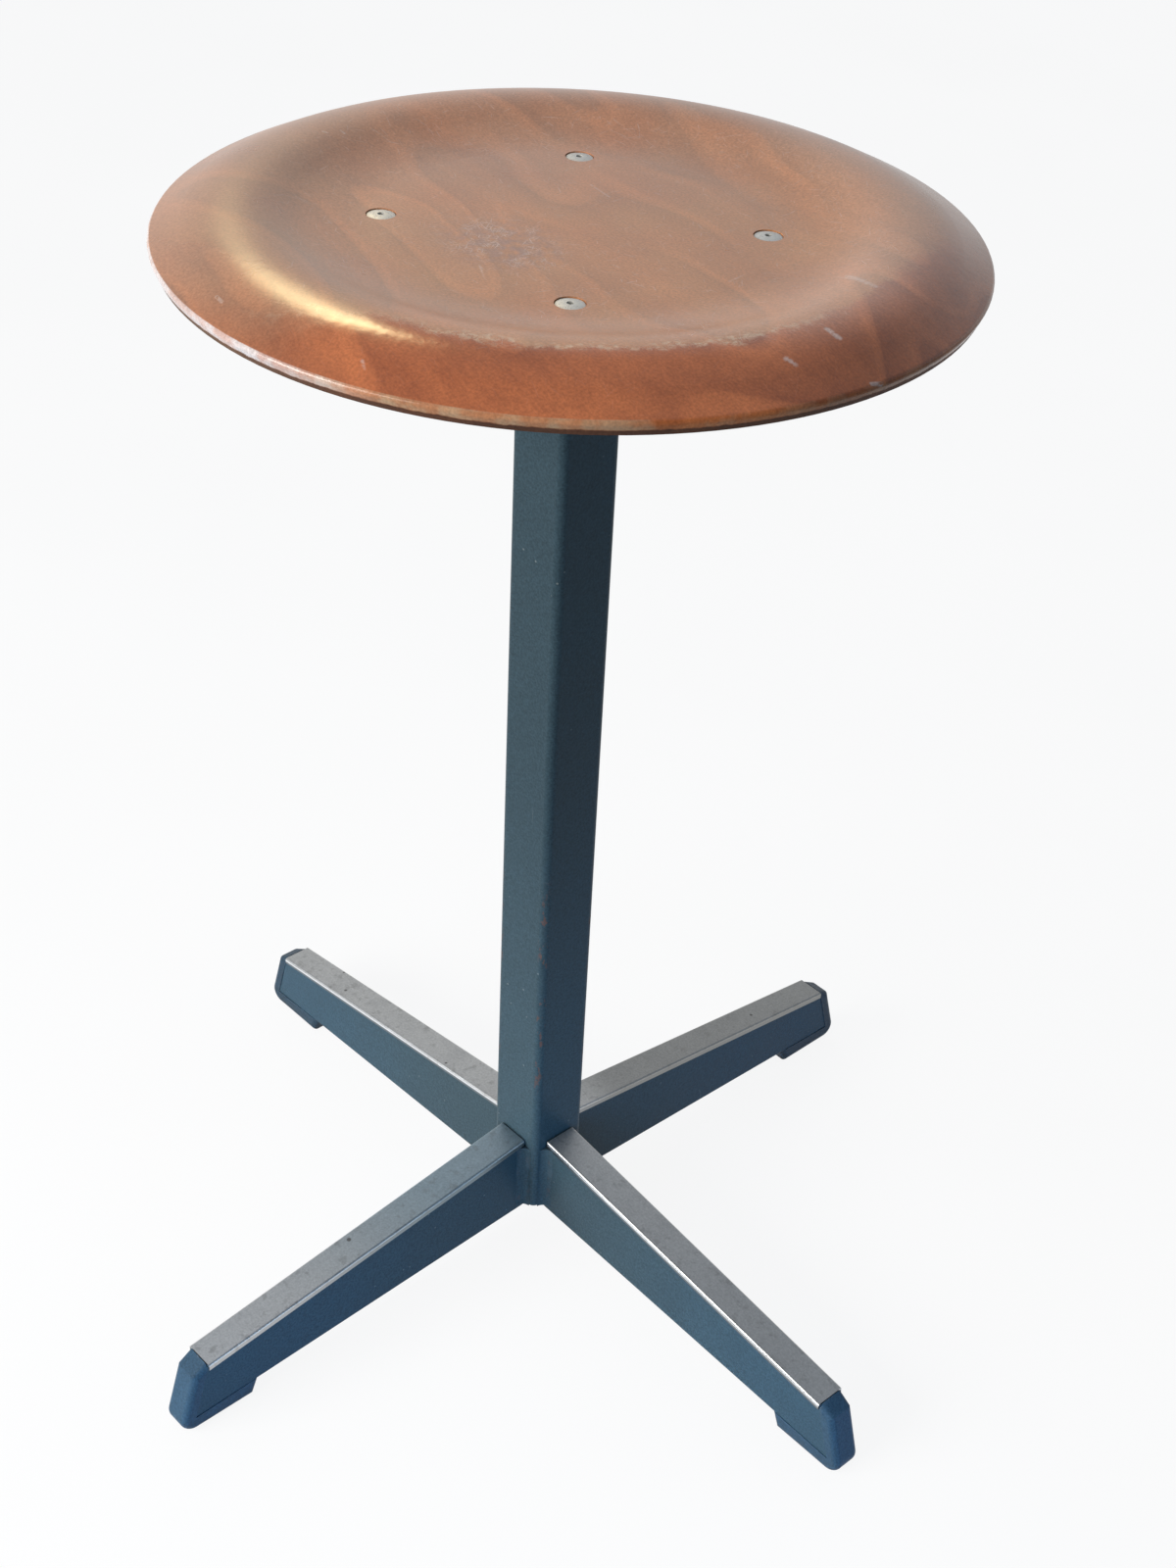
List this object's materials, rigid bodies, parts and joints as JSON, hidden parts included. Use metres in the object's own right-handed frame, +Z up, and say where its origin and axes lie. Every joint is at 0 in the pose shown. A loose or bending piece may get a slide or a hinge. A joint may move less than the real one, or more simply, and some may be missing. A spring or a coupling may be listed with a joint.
{
  "type": "stool",
  "caption": "Round stool with a dished moulded-plywood seat riveted to a square steel column on a cross base of tapered legs with bright cover strips and moulded foot caps.",
  "frame": {"origin": "on the floor, on the column's axis", "axes": "+Z up along the column; the four legs point along +X, +Y, -X and -Y"},
  "size_m": [0.4922, 0.4922, 0.5925],
  "materials": {
    "seat_plywood": "stained beech veneer under worn gloss lacquer",
    "rivet_zinc": "dull, weathered",
    "mandrel_steel": "dark broken stem",
    "frame_paint": "blue-grey stove enamel, semi-gloss, chipped on corners",
    "strip_steel": "lengthwise brushed, lightly pitted",
    "foot_plastic": "moulded, satin, scuffed"
  },
  "bodies": {
    "root": {"seat_shell": "seat_plywood", "seat_rivets": "rivet_zinc", "rivet_mandrels": "mandrel_steel", "seat_plate": "frame_paint", "plate_weld": "frame_paint", "column_tube": "frame_paint", "leg_front_right": "frame_paint", "leg_weld_front_right": "frame_paint", "leg_strip_front_right": "strip_steel", "foot_cap_front_right": "foot_plastic", "leg_back_right": "frame_paint", "leg_weld_back_right": "frame_paint", "leg_strip_back_right": "strip_steel", "foot_cap_back_right": "foot_plastic", "leg_back_left": "frame_paint", "leg_weld_back_left": "frame_paint", "leg_strip_back_left": "strip_steel", "foot_cap_back_left": "foot_plastic", "leg_front_left": "frame_paint", "leg_weld_front_left": "frame_paint", "leg_strip_front_left": "strip_steel", "foot_cap_front_left": "foot_plastic"}
  },
  "joints": []
}
